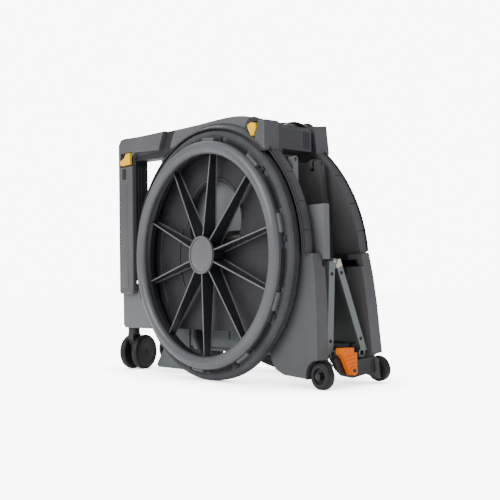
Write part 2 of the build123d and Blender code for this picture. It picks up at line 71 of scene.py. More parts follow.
LEFT = Matrix.Translation((HUB.x, HUB.y, HUB.z - TYRE_R))
RIGHT = (
    Matrix.Translation(joint_at["right_frame_fold"])
    @ Matrix.Rotation(-LEAN, 4, "Y")
    @ Matrix.Translation((PIVOT_U, 0, -PIVOT_Z))
    @ Matrix.Scale(-1, 4, (1, 0, 0))
)
SIDES = {"left": LEFT, "right": RIGHT}

SPOKES = 10
SPOKE_START = math.radians(94)
NOTCH_START = math.radians(101.5)
HANDRIM_R = 257.5 * MM
HUB_OUT = -40 * MM
FENDER_R = (308 * MM, 316 * MM)
FENDER_U = (-8 * MM, 16 * MM)
SKIRT_ARC = (math.radians(-20), math.radians(132))
BEAD_ARC = (math.radians(126), math.radians(181))
CASTER_AT = (24 * MM, 396 * MM)
CASTER_TURN = math.radians(107)
CASTER_TRAIL = 18 * MM
CASTER_R = 47 * MM
TRANSPORT_AT = (-338 * MM, 29 * MM)


# ---- materials ------------------------------------------------------------------------------
TONE_SCALE = 7
CHANGE = 4 * MM


def new_material(name, colour, metallic=0.0, specular=0.5):
    material = bpy.data.materials.new(name)
    material.use_nodes = True
    shader = material.node_tree.nodes["Principled BSDF"]
    shader.inputs["Base Color"].default_value = (*colour, 1)
    shader.inputs["Metallic"].default_value = metallic
    shader.inputs["Specular IOR Level"].default_value = specular
    return material, shader


def noise(tree, scale, detail=4.0, stretch=(1, 1, 1)):
    place = tree.nodes.new("ShaderNodeTexCoord")
    mapping = tree.nodes.new("ShaderNodeMapping")
    mapping.inputs["Scale"].default_value = stretch
    texture = tree.nodes.new("ShaderNodeTexNoise")
    texture.inputs["Scale"].default_value = scale
    texture.inputs["Detail"].default_value = detail
    tree.links.new(place.outputs["Object"], mapping.inputs["Vector"])
    tree.links.new(mapping.outputs["Vector"], texture.inputs["Vector"])
    return texture.outputs["Fac"]


def ramp(tree, factor, low, high, span=(0.3, 0.7)):
    node = tree.nodes.new("ShaderNodeValToRGB")
    node.color_ramp.elements[0].position = span[0]
    node.color_ramp.elements[1].position = span[1]
    node.color_ramp.elements[0].color = (*low, 1)
    node.color_ramp.elements[1].color = (*high, 1)
    tree.links.new(factor, node.inputs["Fac"])
    return node.outputs["Color"]


def spread(tree, factor, low, high):
    node = tree.nodes.new("ShaderNodeMapRange")
    node.inputs["From Min"].default_value = 0.3
    node.inputs["From Max"].default_value = 0.7
    node.inputs["To Min"].default_value = low
    node.inputs["To Max"].default_value = high
    tree.links.new(factor, node.inputs["Value"])
    return node.outputs["Result"]


def bump(tree, height, strength, distance, before=None):
    node = tree.nodes.new("ShaderNodeBump")
    node.inputs["Strength"].default_value = strength
    node.inputs["Distance"].default_value = distance
    tree.links.new(height, node.inputs["Height"])
    if before is not None:
        tree.links.new(before, node.inputs["Normal"])
    return node.outputs["Normal"]


def scaled(colour, by):
    return tuple(min(1.0, c * by) for c in colour)


def drifting(tree, colour, vary=0.12):
    """A colour that goes slowly lighter and darker over the surface."""
    return ramp(tree, noise(tree, TONE_SCALE), scaled(colour, 1 - vary), scaled(colour, 1 + vary))


def moulded(name, colour, rough=0.45, grain=0.3, vary=0.12, specular=0.5):
    """Moulded plastic: slow tone changes, spark-eroded grain, and a slight unevenness in gloss."""
    material, shader = new_material(name, colour, specular=specular)
    tree = material.node_tree
    tree.links.new(drifting(tree, colour, vary), shader.inputs["Base Color"])
    tree.links.new(spread(tree, noise(tree, 34), rough - 0.06, rough + 0.08), shader.inputs["Roughness"])
    flow = bump(tree, noise(tree, 22, 2), 0.10, 0.002)
    tree.links.new(bump(tree, noise(tree, 1300, 2), grain, 0.00012, flow), shader.inputs["Normal"])
    return material


def rubber(name, colour, rough=0.72):
    """Solid rubber: dusty tone, faint scuffs along the rolling direction, fine pitting."""
    material, shader = new_material(name, colour, specular=0.35)
    tree = material.node_tree
    tone = ramp(tree, noise(tree, 16, 6), scaled(colour, 0.8), scaled(colour, 1.25))
    tree.links.new(tone, shader.inputs["Base Color"])
    tree.links.new(spread(tree, noise(tree, 60), rough - 0.1, rough + 0.1), shader.inputs["Roughness"])
    scuff = bump(tree, noise(tree, 60, 5, (14, 1, 1)), 0.15, 0.0006)
    tree.links.new(bump(tree, noise(tree, 1600, 2), 0.35, 0.00015, scuff), shader.inputs["Normal"])
    return material


def brushed(name, colour, rough=0.32, stretch=(1, 30, 30)):
    material, shader = new_material(name, colour, metallic=0.9)
    tree = material.node_tree
    lines = noise(tree, 40, 6, stretch)
    tree.links.new(ramp(tree, lines, scaled(colour, 0.82), scaled(colour, 1.12)), shader.inputs["Base Color"])
    tree.links.new(spread(tree, lines, rough - 0.08, rough + 0.12), shader.inputs["Roughness"])
    tree.links.new(bump(tree, lines, 0.2, 0.0001), shader.inputs["Normal"])
    return material


def painted(name, colour, rough=0.42):
    """Satin paint on aluminium: orange peel and a faint metallic fleck."""
    material, shader = new_material(name, colour, metallic=0.25)
    tree = material.node_tree
    fleck = noise(tree, 900, 1)
    slow = ramp(tree, noise(tree, 9), scaled(colour, 0.9), scaled(colour, 1.1))
    tree.links.new(slow, shader.inputs["Base Color"])
    tree.links.new(spread(tree, fleck, rough - 0.06, rough + 0.1), shader.inputs["Roughness"])
    tree.links.new(bump(tree, noise(tree, 260, 2), 0.12, 0.0002), shader.inputs["Normal"])
    return material


def blend_colours(tree, factor, first, second):
    """Mixes two colours. The node has sockets of one name for every type, so they are picked by type."""
    node = tree.nodes.new("ShaderNodeMix")
    node.data_type = "RGBA"
    colours = [socket for socket in node.inputs if socket.type == "RGBA"]
    tree.links.new(factor, node.inputs["Factor"])
    tree.links.new(first, colours[0])
    tree.links.new(second, colours[1])
    return next(socket for socket in node.outputs if socket.type == "RGBA")


def recolour(material, value, start, end, before, after):
    """Base colour from before to after, as value goes from start to end. None keeps the colour it has."""
    tree = material.node_tree
    base = tree.nodes["Principled BSDF"].inputs["Base Color"]
    first, second = [
        base.links[0].from_socket if colour is None else drifting(tree, colour) for colour in (before, after)
    ]
    change = tree.nodes.new("ShaderNodeMapRange")
    change.inputs["From Min"].default_value = start
    change.inputs["From Max"].default_value = end
    tree.links.new(value, change.inputs["Value"])
    tree.links.new(blend_colours(tree, change.outputs["Result"], first, second), base)


def component(tree, source, axis):
    """X, Y or Z of one of the texture coordinate node's outputs."""
    place = tree.nodes.new("ShaderNodeTexCoord")
    parts = tree.nodes.new("ShaderNodeSeparateXYZ")
    tree.links.new(place.outputs[source], parts.inputs["Vector"])
    return parts.outputs[axis]


def two_tone(name, outside, inboard_shade_colour, inboard, rough=0.46):
    """Moulded plastic with another colour on faces turned inboard, a painted shade for the shade those faces lie
    in: +1 is towards +X, -1 towards -X.
    """
    material = moulded(name, outside, rough)
    facing = component(material.node_tree, "Normal", "X")
    recolour(material, facing, 0.3 * inboard, 0.6 * inboard, None, inboard_shade_colour)
    return material


def by_height(name, above, below, level, rough=0.46):
    """Moulded plastic whose colour changes over a few millimetres at a height."""
    material = moulded(name, above, rough)
    height = component(material.node_tree, "Object", "Z")
    recolour(material, height, level - CHANGE, level + CHANGE, below, None)
    return material


def near_axis(name, outside, behind, inboard_shade_colour, hub, radius, inboard):
    """Two-tone plastic with a third colour within radius of the wheel's axis, a painted shade where it lies behind
    the spokes.
    """
    material = two_tone(name, outside, inboard_shade_colour, inboard)
    tree = material.node_tree
    place = tree.nodes.new("ShaderNodeTexCoord")
    offset = tree.nodes.new("ShaderNodeVectorMath")
    offset.operation = "SUBTRACT"
    offset.inputs[1].default_value = hub
    flat = tree.nodes.new("ShaderNodeVectorMath")
    flat.operation = "MULTIPLY"
    flat.inputs[1].default_value = (0, 1, 1)
    reach = tree.nodes.new("ShaderNodeVectorMath")
    reach.operation = "LENGTH"
    tree.links.new(place.outputs["Object"], offset.inputs[0])
    tree.links.new(offset.outputs["Vector"], flat.inputs[0])
    tree.links.new(flat.outputs["Vector"], reach.inputs[0])
    recolour(material, reach.outputs["Value"], radius - CHANGE, radius + CHANGE, behind, None)
    return material


def woven(name, colour, pitch=0.0016):
    """Coated cloth: warp and weft threads crossing, with a tone that follows the threads."""
    material, shader = new_material(name, colour, specular=0.25)
    shader.inputs["Sheen Weight"].default_value = 0.25
    tree = material.node_tree
    place = tree.nodes.new("ShaderNodeTexCoord")
    threads = []
    for direction in ("Y", "Z"):
        wave = tree.nodes.new("ShaderNodeTexWave")
        wave.bands_direction = direction
        wave.inputs["Scale"].default_value = 1 / (pitch * 3.2)
        wave.inputs["Distortion"].default_value = 0.6
        tree.links.new(place.outputs["Object"], wave.inputs["Vector"])
        threads.append(wave.outputs["Fac"])
    weave = tree.nodes.new("ShaderNodeMath")
    weave.operation = "MULTIPLY"
    tree.links.new(threads[0], weave.inputs[0])
    tree.links.new(threads[1], weave.inputs[1])
    tone = ramp(tree, weave.outputs[0], scaled(colour, 0.65), scaled(colour, 1.35), (0.1, 0.8))
    tree.links.new(tone, shader.inputs["Base Color"])
    tree.links.new(spread(tree, noise(tree, 30), 0.75, 0.92), shader.inputs["Roughness"])
    tree.links.new(bump(tree, weave.outputs[0], 0.5, 0.0004), shader.inputs["Normal"])
    return material


FINISH = {
    "frame_grey": moulded("frame_grey", (0.085, 0.087, 0.092), 0.46),
    "cover_grey": moulded("cover_grey", (0.125, 0.126, 0.135), 0.44),
    "dark_plastic": moulded("dark_plastic", (0.02, 0.02, 0.022), 0.48),
    "rim_grey": moulded("rim_grey", (0.10, 0.102, 0.112), 0.33, 0.12),
    "spoke_dark": moulded("spoke_dark", (0.016, 0.017, 0.021), 0.36),
    "tyre_rubber": rubber("tyre_rubber", (0.05, 0.051, 0.057)),
    "caster_rubber": rubber("caster_rubber", (0.009, 0.009, 0.01), 0.5),
    "deck_green": painted("deck_green", (0.135, 0.152, 0.152)),
    "seat_shell": moulded("seat_shell", (0.13, 0.138, 0.145), 0.34, 0.12),
    "bracket_cream": painted("bracket_cream", (0.56, 0.53, 0.42), 0.38),
    "steel": brushed("steel", (0.5, 0.5, 0.52)),
    "orange": moulded("orange", (0.90, 0.175, 0.0), 0.42, 0.15, 0.10, 0.15),
    "strap_black": rubber("strap_black", (0.03, 0.03, 0.034), 0.45),
    "sling_fabric": woven("sling_fabric", (0.06, 0.065, 0.075)),
}
AMBER = moulded("button_amber", (1.0, 0.56, 0.0), 0.30, 0.12, 0.05, 0.2)
ARM_GREY = moulded("arm_grey", (0.082, 0.081, 0.087), 0.40)
# Dark below the pad's height: painted shade under the pad.
ARM_BEAM = by_height("arm_beam", (0.098, 0.098, 0.104), (0.012, 0.012, 0.014), 0.583)
BLOCK_GREY = moulded("block_grey", (0.074, 0.074, 0.08), 0.42)
BOX_GREY = moulded("box_grey", (0.042, 0.042, 0.046), 0.45)
TRIM = moulded("trim_black", (0.006, 0.006, 0.007), 0.4)
# Near-black used as painted shade in slots, notches, the button's liner and the pad's hollow, and also for the
# dark seams.
SHADE_AND_SEAM_BLACK = moulded("shade_and_seam_black", (0.008, 0.008, 0.009), 0.7)
HUB_GREY = moulded("hub_grey", (0.125, 0.125, 0.13), 0.4, 0.2)
WALL_GREY = moulded("wall_grey", (0.045, 0.046, 0.053), 0.38)
# Painted highlight: the light colour along the outboard edge of each spoke.
SPOKE_HIGHLIGHT = moulded("spoke_edge_highlight", (0.15, 0.15, 0.162), 0.3, 0.12)
# Ribs as dark as the side panel: painted shade behind the spokes and on the leg's rear face.
RIB_SHADE = moulded("panel_rib", (0.03, 0.03, 0.034), 0.45)
DISC_BLACK = moulded("disc_black", (0.012, 0.012, 0.013), 0.4, 0.15)
# Painted shade: the colour given to faces turned inboard, which lie in shade.
INBOARD_SHADE = (0.10, 0.097, 0.10)
# Painted shade on the rear housing where it lies behind the spokes, and the radius about the hub within which it
# is painted.
SPOKE_SHADE_COLOUR = (0.02, 0.02, 0.023)
SPOKE_SHADE_RADIUS = 290 * MM

OVERRIDE = {
    "arm_pad": ARM_GREY, "hub_cap": HUB_GREY, "front_button": AMBER, "rear_button": AMBER,
    "armrest": ARM_BEAM, "rear_block": BLOCK_GREY, "top_box": BOX_GREY,
    "transport_axle": DISC_BLACK,
}
OUTBOARD_COLOURS = {
    # The side panel's outboard colour is near-black: painted shade where it lies behind the spokes.
    "side_panel": (0.018, 0.018, 0.021), "fender": (0.06, 0.06, 0.065), "seat_half": (0.135, 0.14, 0.147),
}
SIGNS = {"left": 1, "right": -1}
# Painted shade: the far seat half's outside, darker than the near half's.
FAR_SEAT_SHADE = (0.032, 0.033, 0.035)
DECK_TOP = (0.15, 0.168, 0.168)
# Painted shade: the deck leaves' faces turned inboard, inside the fold. The footplate is darker than the deck all
# over as painted shade, and darker still on faces turned inboard.
DECK_UNDER_SHADE = (0.04, 0.046, 0.047)
FOOT_TOP_SHADE = (0.085, 0.098, 0.1)
FOOT_UNDER_SHADE = (0.03, 0.034, 0.035)
HOUSING_GREY = (0.07, 0.071, 0.077)
# The second colour of each two-tone material here is painted shade on faces turned inboard.
OVERRIDE_BY_SIDE = {
    (node, side): two_tone(f"{node}_{side}_painted_shade", colour, INBOARD_SHADE, sign)
    for node, colour in OUTBOARD_COLOURS.items() for side, sign in SIGNS.items()
}
for side, sign in SIGNS.items():
    # Deck and footplate: two-tone materials whose inboard colour is painted shade.
    for node, top, shade_under in (("deck", DECK_TOP, DECK_UNDER_SHADE), ("footplate", FOOT_TOP_SHADE, FOOT_UNDER_SHADE)):
        OVERRIDE_BY_SIDE[node, side] = two_tone(f"{node}_{side}_painted_shade", top, shade_under, sign, 0.42)
    hub = joint_at["drive_spin_" + side]
    OVERRIDE_BY_SIDE["rear_housing", side] = near_axis(
        f"rear_housing_{side}_painted_shade", HOUSING_GREY, SPOKE_SHADE_COLOUR, INBOARD_SHADE, hub, SPOKE_SHADE_RADIUS, sign)
# The far seat half is a shaded copy of the near one, with painted shade outside and inboard.
OVERRIDE_BY_SIDE["seat_half", "right"] = two_tone(
    "far_seat_painted_shade", FAR_SEAT_SHADE, INBOARD_SHADE, SIGNS["right"])


def finish_cad_nodes():
    slots = {s["node"]: s["material_slot"] for s in frame["record"]["subparts"]}
    for node, piece in frame["nodes"].items():
        plain, _, side = node.rpartition("_")
        material = OVERRIDE_BY_SIDE.get((plain, side)) or OVERRIDE.get(plain) or OVERRIDE.get(node)
        material = material or FINISH[slots[node]]
        piece.data.materials.clear()
        piece.data.materials.append(material)


# ---- mesh helpers -----------------------------------------------------------------------------
SMOOTH_UP_TO = math.radians(32)


def make(name, form, material, body, place):
    """Turns a bmesh into a piece: placed, smoothed by angle, riding on a body."""
    if place.determinant() < 0:
        bmesh.ops.reverse_faces(form, faces=form.faces)
    form.transform(place)
    data = bpy.data.meshes.new(name)
    form.to_mesh(data)
    form.free()
    for polygon in data.polygons:
        polygon.use_smooth = True
    data.set_sharp_from_angle(angle=SMOOTH_UP_TO)
    data.materials.append(material)
    piece = bpy.data.objects.new(name, data)
    bpy.context.scene.collection.objects.link(piece)
    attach(piece, body)
    return piece


def join(target, part):
    data = bpy.data.meshes.new("part")
    part.to_mesh(data)
    part.free()
    target.from_mesh(data)
    bpy.data.meshes.remove(data)


def block(low, high, bevel=0.0, segments=3):
    form = bmesh.new()
    bmesh.ops.create_cube(form, size=1)
    size = [end - start for start, end in zip(low, high)]
    middle = [(end + start) / 2 for start, end in zip(low, high)]
    form.transform(Matrix.Translation(middle) @ Matrix.Diagonal((*size, 1)))
    if bevel:
        bmesh.ops.bevel(
            form, geom=form.edges[:], offset=bevel, segments=segments, affect="EDGES", profile=0.5)
    bmesh.ops.recalc_face_normals(form, faces=form.faces)
    return form


def swept(section, path, closed=False):
    """A closed section of (across, out) offsets carried along frames of (point, across, out)."""
    form = bmesh.new()
    rings = []
    for point, across, out in path:
        rings.append([form.verts.new(point + across * a + out * b) for a, b in section])
    count = len(rings) if closed else len(rings) - 1
    size = len(section)
    for i in range(count):
        one, two = rings[i], rings[(i + 1) % len(rings)]
        for k in range(size):
            form.faces.new((one[k], one[(k + 1) % size], two[(k + 1) % size], two[k]))
    if not closed:
        form.faces.new(rings[0][::-1])
        form.faces.new(rings[-1])
    bmesh.ops.recalc_face_normals(form, faces=form.faces)
    return form


def wheel_path(radius, u, start, end, steps, centre=(0.0, None)):
    """Frames along an arc in a plane of constant u, about the hub unless another centre is given."""
    y0 = centre[0]
    z0 = TYRE_R if centre[1] is None else centre[1]
    frames = []
    for i in range(steps):
        angle = start + (end - start) * i / (steps - 1)
        out = Vector((0, math.cos(angle), math.sin(angle)))
        frames.append((Vector((u, y0, z0)) + out * radius, Vector((1, 0, 0)), out))
    return frames


def ring_path(radius, u, steps, centre=(0.0, None)):
    end = 2 * math.pi * (steps - 1) / steps
    return wheel_path(radius, u, 0, end, steps, centre)


def rounded(width, height, corner, segments=4):
    """A rectangle's outline with round corners, centred on zero."""
    points = []
    for index, (sx, sy) in enumerate(((1, 1), (-1, 1), (-1, -1), (1, -1))):
        for k in range(segments + 1):
            angle = math.pi / 2 * (index + k / segments)
            x = sx * (width / 2 - corner) + corner * math.cos(angle)
            y = sy * (height / 2 - corner) + corner * math.sin(angle)
            points.append((x, y))
    return points


def circle(radius, steps):
    return [(radius * math.cos(2 * math.pi * i / steps), radius * math.sin(2 * math.pi * i / steps))
            for i in range(steps)]


def turned(profile, steps=64, centre=(0.0, None)):
    """A closed outline of (u, radius) turned about an axis along u."""
    return swept(profile, ring_path(0, 0, steps, centre), closed=True)


# ---- drive wheel ------------------------------------------------------------------------------
TREAD_GROOVES = (-20 * MM, -14 * MM, -8 * MM)
SPOKE_REACH = (40, 250)
SPOKE_OUTER_U = (-40.6, -24.8)
SPOKE_INNER_U = (-3.6, -8.6)
SLOT_ARC = (math.radians(5.7), math.radians(23))
NOTCH_ARC = math.radians(2.4)
LUG_ARC = (math.radians(25.6), math.radians(34.4))
RIM_WALL = mm((-28, 263), (-28, 273.6), (-38, 273.2), (-44, 271), (-44, 262))
SKIRT = mm((-8, 309), (-8, 315.6), (-20, 310), (-24, 307), (-24, 304.6), (-20, 304.6))
FENDER_SEAMS = (20, 58, 96, 146, 160, 172)


def tyre(side, place):
    """Solid tyre with three grooves in the tread and a moulded line on each wall."""
    inner = TYRE_R - 24 * MM
    wide = TYRE_WIDTH
    walls = [(-wide, inner), (-wide, TYRE_R - 17 * MM), (-wide + 0.8 * MM, TYRE_R - 16 * MM)]
    walls += [(-wide + 0.8 * MM, TYRE_R - 14 * MM), (-wide, TYRE_R - 13 * MM), (-wide, TYRE_R - 7 * MM)]
    walls += [(-wide + 2 * MM, TYRE_R - 3.4 * MM), (-wide + 5 * MM, TYRE_R - 1.2 * MM)]
    tread = []
    for groove in TREAD_GROOVES:
        tread += [(groove - 1.3 * MM, TYRE_R), (groove - 0.8 * MM, TYRE_R - 1.8 * MM)]
        tread += [(groove + 0.8 * MM, TYRE_R - 1.8 * MM), (groove + 1.3 * MM, TYRE_R)]
    mirrored = [(-wide - u, radius) for u, radius in reversed(walls)]
    form = turned(walls + tread + mirrored, 192)
    piece = make(
        "tread_tyre_" + side, form, FINISH["tyre_rubber"], "drive_wheel_" + side, place)
    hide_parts("tyre_" + side)


def spoke_edges(side, place):
    """Flange along the outboard edge of each spoke, lighter than the spoke as a painted highlight, and a wider,
    darker one inboard.
    """
    for label, depths, width, material, slot in (
        ("outer", SPOKE_OUTER_U, 3.4, SPOKE_HIGHLIGHT, "rim_grey"),
        ("inner", SPOKE_INNER_U, 11.0, FINISH["frame_grey"], "frame_grey"),
    ):
        form = bmesh.new()
        for i in range(SPOKES):
            angle = SPOKE_START + 2 * math.pi * i / SPOKES
            out = Vector((0, math.cos(angle), math.sin(angle)))
            across = Vector((0, -math.sin(angle), math.cos(angle)))
            start, end = [Vector((u * MM, 0, TYRE_R)) + out * radius * MM
                          for u, radius in zip(depths, SPOKE_REACH)]
            deep = (end - start).normalized().cross(across)
            section = rounded(width * MM, 1.6 * MM, 0.7 * MM)
            join(form, swept(section, [(start, across, deep), (end, across, deep)]))
        make(f"spoke_flanges_{label}_{side}", form, material, "drive_wheel_" + side, place)


def hub_detail(side, place):
    """Domed hub cover with a raised lip and a shallow ring."""
    face = HUB_OUT - 4.4 * MM
    dome = [(face + 1.0 * MM, 0.1 * MM), (face - 1.6 * MM, 0.1 * MM), (face - 1.5 * MM, 12 * MM)]
    dome += [(face - 1.2 * MM, 22 * MM), (face - 0.7 * MM, 31 * MM), (face - 0.5 * MM, 32 * MM)]
    dome += [(face - 1.1 * MM, 33 * MM), (face - 0.9 * MM, 37 * MM), (face + 0.4 * MM, 40 * MM)]
    dome += [(face + 1.0 * MM, 40 * MM)]
    make("hub_dome_" + side, turned(dome, 72), HUB_GREY, "drive_wheel_" + side, place)


def handrim_detail(side, place):
    """Wall between the hand rim and the tyre, its lugs, its slots and notches as black pieces of painted shade,
    and the hand rim's seam.
    """
    body = "drive_wheel_" + side
    notches = bmesh.new()
    lugs = bmesh.new()
    for i in range(SPOKES):
        start = NOTCH_START + 2 * math.pi * i / SPOKES
        for radius, u, wide, tall in ((273.6, -34, 4.6, 1.4), (279.5, -28.2, 1.4, 7.6)):
            slot = wheel_path(radius * MM, u * MM, start + SLOT_ARC[0], start + SLOT_ARC[1], 14)
            join(notches, swept(rounded(wide * MM, tall * MM, 0.6 * MM), slot))
        notch = wheel_path(277 * MM, -30.2 * MM, start, start + NOTCH_ARC, 4)
        join(notches, swept(rounded(3.6 * MM, 15 * MM, 1.4 * MM), notch))
        lug = wheel_path(274 * MM, -34 * MM, start + LUG_ARC[0], start + LUG_ARC[1], 8)
        join(lugs, swept(rounded(11 * MM, 13 * MM, 2.4 * MM), lug))
    make("bridge_wall_" + side, turned(RIM_WALL, 192), WALL_GREY, body, place)
    make("bridge_lugs_" + side, lugs, FINISH["frame_grey"], body, place)
    # The slots and notches are black pieces: painted shade.
    make("block_notches_" + side, notches, SHADE_AND_SEAM_BLACK, body, place)
    seam = swept(circle(0.45 * MM, 8), ring_path(HANDRIM_R + 15.4 * MM, -41 * MM, 160), closed=True)
    make("handrim_seam_" + side, seam, SHADE_AND_SEAM_BLACK, body, place)


# ---- side frame -------------------------------------------------------------------------------
def fender_detail(side, place):
    """Skirt over the tyre with a black rubber lip, the bead that carries on behind, and the seams."""
    body = "frame_" + side
    flare = swept(SKIRT, wheel_path(0, 0, *SKIRT_ARC, 96))
    make("fender_skirt_" + side, flare, FINISH["frame_grey"], body, place)
    trim = bmesh.new()
    lip = wheel_path(304 * MM, -24.2 * MM, *SKIRT_ARC, 96)
    join(trim, swept(rounded(5 * MM, 4.8 * MM, 1.8 * MM), lip))
    bead = wheel_path(FENDER_R[1] - 0.6 * MM, FENDER_U[0] - 1.2 * MM, *BEAD_ARC, 48)
    join(trim, swept(rounded(3.4 * MM, 7.6 * MM, 1.5 * MM), bead))
    make("fender_trim_" + side, trim, TRIM, body, place)
    seams = bmesh.new()
    for degrees in FENDER_SEAMS:
        angle = math.radians(degrees)
        path = wheel_path(FENDER_R[1], 4 * MM, angle, angle + math.radians(0.3), 3)
        join(seams, swept(rounded(21 * MM, 0.5 * MM, 0.2 * MM), path))
    make("fender_seams_" + side, seams, SHADE_AND_SEAM_BLACK, body, place)


# PAD_END is the outline of the pad's front end, as (y, z) in millimetres.
PAD_END = ((206, 582), (200, 597), (192, 613), (183, 626))
LEG_RIB_U = (-1, 7, 20)


def arm_detail(side, place):
    """Liner behind the front button, hollow behind the pad, the leg's slot and ridge, and its inner ribs. The
    liner, hollow and slot are black: painted shade.
    """
    body = "arm_" + side
    liner = block(*mm((-16.15, 330.4, 555), (-15.9, 383, 591)), 0.15 * MM, 1)
    make("button_recess_" + side, liner, SHADE_AND_SEAM_BLACK, body, place)
    slot = block(*mm((-22.5, 358, 520), (-21.6, 376, 549)), 0.3 * MM, 2)
    make("leg_slot_" + side, slot, SHADE_AND_SEAM_BLACK, body, place)
    hollow = bmesh.new()
    rings = []
    for u, wide in ((-7.4, 34), (-8.2, 31)):
        outline = [*PAD_END, *((y - wide, z) for y, z in PAD_END[::-1])]
        rings.append([hollow.verts.new((u * MM, y * MM, z * MM)) for y, z in outline])
    count = len(rings[0])
    for k in range(count):
        n = (k + 1) % count
        hollow.faces.new((rings[0][k], rings[0][n], rings[1][n], rings[1][k]))
    for ring in rings:
        hollow.faces.new(ring)
    bmesh.ops.recalc_face_normals(hollow, faces=hollow.faces)
    make("pad_hollow_" + side, hollow, SHADE_AND_SEAM_BLACK, body, place)
    ridge = block(*mm((-22.6, 352, 224), (-21.4, 384, 508)), 0.5 * MM, 3)
    make("leg_ridge_" + side, ridge, ARM_GREY, body, place)
    ribs = bmesh.new()
    for u in LEG_RIB_U:
        join(ribs, block(*mm((u, 328.6, 250), (u + 2.4, 330.6, 556)), 0.5 * MM, 2))
    make("leg_ribs_" + side, ribs, RIB_SHADE, body, place)


def button_detail(side, place):
    """Grip ribs across each release button."""
    ribs = bmesh.new()
    for i in range(3):
        z = 563 + 6 * i
        join(ribs, block(*mm((-27.4, 338, z), (-26.6, 370 - 3 * i, z + 1.8)), 0.3 * MM, 2))
    make("front_button_ribs_" + side, ribs, AMBER, "front_latch_" + side, place)
    ribs = bmesh.new()
    for i in range(3):
        z = 574 + 5 * i
        join(ribs, block(*mm((-22.5, -175, z), (-21.6, -159, z + 1.6)), 0.3 * MM, 2))
    make("rear_button_ribs_" + side, ribs, AMBER, "rear_latch_" + side, place)


def caster_detail(side, place):
    """Hub discs with a stepped ring on the outer face of each caster roller."""
    local = (
        Matrix.Translation((CASTER_AT[0], CASTER_AT[1], 0))
        @ Matrix.Rotation(CASTER_TURN, 4, "Z")
    )
    for index, sign in enumerate((-1, 1)):
        face = 30 * MM * sign
        profile = [(face, 6 * MM), (face + sign * 0.9 * MM, 6.6 * MM), (face + sign * 0.9 * MM, 30 * MM)]
        profile += [(face + sign * 0.1 * MM, 31 * MM), (face + sign * 0.1 * MM, 34 * MM)]
        profile += [(face + sign * 0.7 * MM, 35 * MM), (face + sign * 0.6 * MM, 39 * MM), (face, 40 * MM)]
        profile += [(face - sign * 0.6 * MM, 40 * MM), (face - sign * 0.6 * MM, 6 * MM)]
        form = turned(profile, 56, (-CASTER_TRAIL, CASTER_R))
        name = f"caster_disc_{index + 1}_{side}"
        make(name, form, DISC_BLACK, "caster_roller_" + side, place @ local)


def transport_detail(side, place):
    """Raised hub ring on the transport roller's outboard face."""
    face = 8 * MM
    profile = [(face, 18 * MM), (face - 0.8 * MM, 18.6 * MM), (face - 0.8 * MM, 22 * MM)]
    profile += [(face, 22.6 * MM), (face + 0.5 * MM, 22.6 * MM), (face + 0.5 * MM, 18 * MM)]
    form = turned(profile, 48, TRANSPORT_AT)
    make("transport_ring_" + side, form, DISC_BLACK, "transport_roller_" + side, place)


def panel_ribs(side, place):
    """Stiffening ribs on the side panel's outboard face, seen between the spokes."""
    form = bmesh.new()
    arch = wheel_path(106 * MM, 2.6 * MM, 0.02, math.pi - 0.02, 40, (6 * MM, 381 * MM))
    join(form, swept(rounded(3.6 * MM, 5 * MM, 1 * MM), arch))
    for radius in (150, 232):
        arc = wheel_path(radius * MM, 3.0 * MM, math.radians(-30), math.radians(28), 30)
        join(form, swept(rounded(2.8 * MM, 4 * MM, 0.8 * MM), arc))
    join(form, block(*mm((1.6, -92, 338), (4.4, 104, 343)), 0.8 * MM, 2))
    make("panel_ribs_" + side, form, RIB_SHADE, "frame_" + side, place)


# ---- deck, pedal, top ---------------------------------------------------------------------------
SCREW_R = 4.2 * MM
SCREW_PROFILE = ((1.0, 0), (1.0, 0.5), (0.8, 1.1), (0.5, 1.2), (0.46, -0.4))
SCREW_SIDES = 24
SCREW_INSET = 9 * MM
SCREW_SHARES = (0.14, 0.86)


def screw(form, centre, normal):
    """Domed head with a round socket. Its profile is (share of the radius, height in millimetres)."""
    turn = Vector((0, 0, 1)).rotation_difference(normal).to_matrix().to_4x4()
    here = Matrix.Translation(centre) @ turn
    head = bmesh.new()
    rings = []
    for share, height in SCREW_PROFILE:
        rings.append([head.verts.new((x, y, height * MM)) for x, y in circle(SCREW_R * share, SCREW_SIDES)])
    for one, two in zip(rings, rings[1:]):
        for i in range(SCREW_SIDES):
            n = (i + 1) % SCREW_SIDES
            head.faces.new((one[i], one[n], two[n], two[i]))
    head.faces.new(rings[-1])
    head.faces.new(rings[0][::-1])
    head.transform(here)
    join(form, head)


def leaf_screws():
    """Screws along the end faces of both deck leaves."""
    pivot_left = joint_at["deck_fold"]
    pivot_right = joint_at["right_frame_fold"]
    apex = joint_at["apex_fold"]
    for name, pivot, body, inset in (
        ("left", pivot_left, "leaf_left", -SCREW_INSET),
        ("right", pivot_right, "leaf_right", SCREW_INSET),
    ):
        along = Vector((apex.x - pivot.x, 0, apex.z - pivot.z))
        length = along.length
        along.normalize()
        across = Vector((along.z, 0, -along.x))
        low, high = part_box("deck_" + name)
        form = bmesh.new()
        for share in SCREW_SHARES:
            for y, normal in ((low.y, Vector((0, -1, 0))), (high.y, Vector((0, 1, 0)))):
                point = Vector((pivot.x, y, pivot.z)) + along * length * share + across * inset
                screw(form, point, normal)
        make("leaf_screws_" + name, form, DISC_BLACK, body, Matrix.Identity(4))


PEDAL_HEAD = Vector((140.5 * MM, 0, 91.8 * MM))


